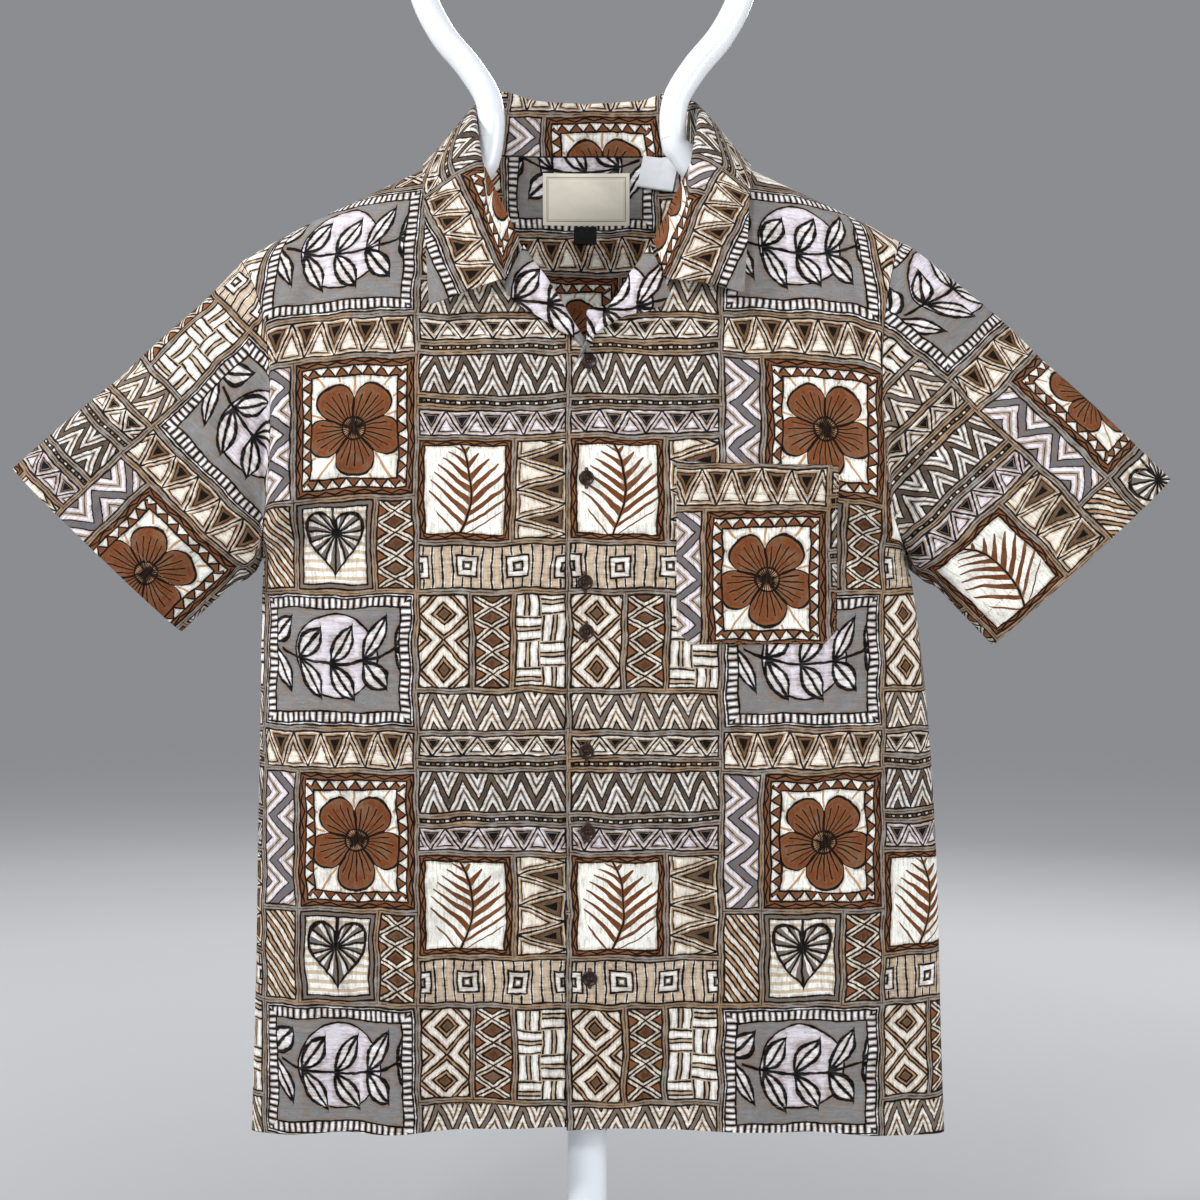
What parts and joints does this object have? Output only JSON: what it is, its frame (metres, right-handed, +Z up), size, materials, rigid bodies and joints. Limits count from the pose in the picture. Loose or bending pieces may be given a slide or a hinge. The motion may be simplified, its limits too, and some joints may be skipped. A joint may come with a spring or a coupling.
{
  "type": "hawaiian shirt on tube clothes stand",
  "caption": "Short-sleeved camp shirt in a leaf and tapa-band patchwork print, buttoned, with chest pocket, resting on a white bent-tube clothes stand.",
  "frame": {"origin": "on the floor under the pole, at the middle of the stand's round base", "axes": "+Z up the pole; the shirt's front faces -Y, the wearer's left is +X"},
  "size_m": [0.9428, 0.33, 1.319],
  "materials": {
    "printed_cotton": "matte printed cotton",
    "label_cream": "woven satin, bare",
    "label_black": "woven satin, bare",
    "label_white": "smooth tape, bare",
    "button_brown": "polished dark brown resin",
    "white_paint": "gloss white enamel"
  },
  "bodies": {
    "root": {"front_left": "printed_cotton", "front_right": "printed_cotton", "back": "printed_cotton", "sleeve_left": "printed_cotton", "sleeve_right": "printed_cotton", "collar": "printed_cotton", "facing_left": "printed_cotton", "facing_right": "printed_cotton", "pocket": "printed_cotton", "neck_label": "label_cream", "size_tab": "label_black", "care_label": "label_white", "button_1": "button_brown", "button_2": "button_brown", "button_3": "button_brown", "button_4": "button_brown", "button_5": "button_brown", "button_6": "button_brown", "button_7": "button_brown", "head_loop": "white_paint", "shoulder_tube_left": "white_paint", "shoulder_tube_right": "white_paint", "hub": "white_paint", "pole": "white_paint", "base": "white_paint"}
  },
  "joints": []
}
